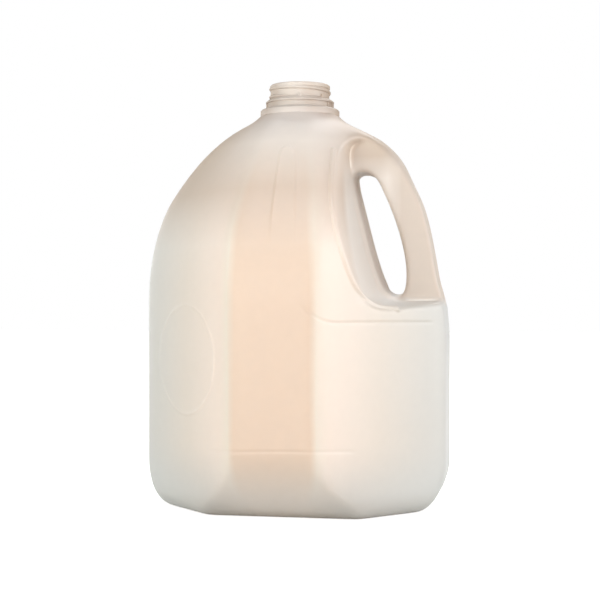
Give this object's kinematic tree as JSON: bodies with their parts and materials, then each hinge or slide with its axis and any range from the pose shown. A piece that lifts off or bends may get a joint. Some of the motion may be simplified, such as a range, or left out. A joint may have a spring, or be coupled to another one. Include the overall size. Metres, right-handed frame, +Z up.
{
  "type": "milk jug",
  "caption": "Empty square milk jug of one US gallon in translucent natural polyethylene, with faceted corners, a hollow handle on one corner and an open threaded neck.",
  "frame": {"origin": "bottom centre: on the plane of the foot, below the axis of the neck, which is the middle of the body's bounding box", "axes": "+Z up along the axis of the neck; +X towards the corner with the handle, -X the pouring corner; the mould's parting plane is Y = 0"},
  "size_m": [0.1752, 0.1752, 0.247],
  "materials": {
    "natural_polyethylene": "blow-moulded natural high-density polyethylene, thin, milky and translucent, with a soft gloss"
  },
  "bodies": {
    "root": {"jug": "natural_polyethylene"}
  },
  "joints": []
}
